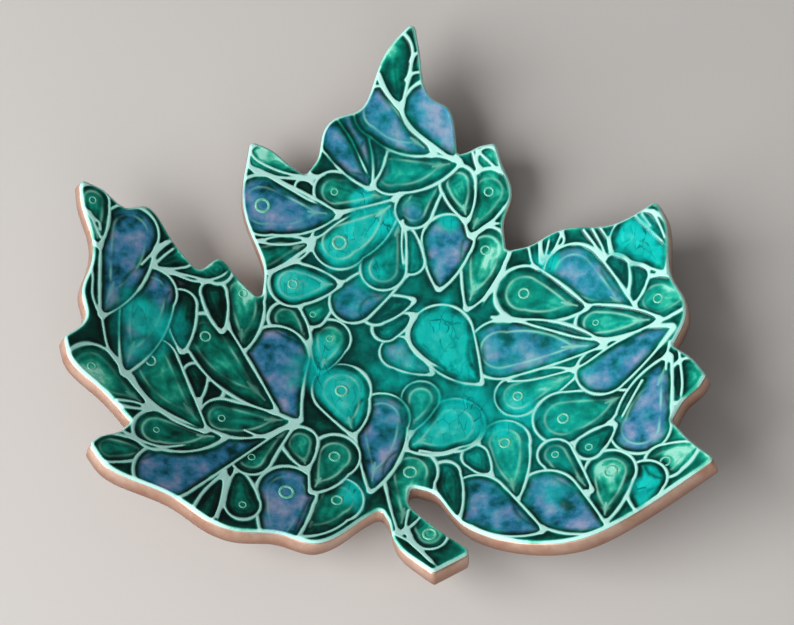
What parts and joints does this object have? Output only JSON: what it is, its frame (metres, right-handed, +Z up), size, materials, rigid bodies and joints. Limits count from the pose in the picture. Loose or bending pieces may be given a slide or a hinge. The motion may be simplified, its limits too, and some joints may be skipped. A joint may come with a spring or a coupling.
{
  "type": "ring dish",
  "caption": "Leaf-shaped glazed ceramic dish with curled lobes, raised drop pattern and copper edge, for holding small jewellery.",
  "frame": {"origin": "middle of the flat foot, on the surface that the dish stands on", "axes": "+Z up out of the dish, +Y towards the leaf's top lobe, -Y towards its stem, +X to the right when seen from the stem"},
  "size_m": [0.1117, 0.1051, 0.0204],
  "materials": {
    "copper_painted_clay": "satin metallic paint on fired clay",
    "green_glaze": "gloss",
    "deep_green_glaze": "gloss",
    "violet_glaze": "gloss",
    "turquoise_glass": "crazed gloss"
  },
  "bodies": {
    "root": {"clay_body": "copper_painted_clay", "deep_glaze_heart": "deep_green_glaze", "deep_glaze_left_lobe": "deep_green_glaze", "deep_glaze_right_lobe": "deep_green_glaze", "deep_glaze_top_lobe": "deep_green_glaze", "green_glaze_heart": "green_glaze", "green_glaze_left_lobe": "green_glaze", "green_glaze_right_lobe": "green_glaze", "green_glaze_top_lobe": "green_glaze", "turquoise_glaze_heart": "turquoise_glass", "turquoise_glaze_right_lobe": "turquoise_glass", "violet_glaze_heart": "violet_glaze", "violet_glaze_left_lobe": "violet_glaze", "violet_glaze_right_lobe": "violet_glaze", "violet_glaze_top_lobe": "violet_glaze"}
  },
  "joints": []
}
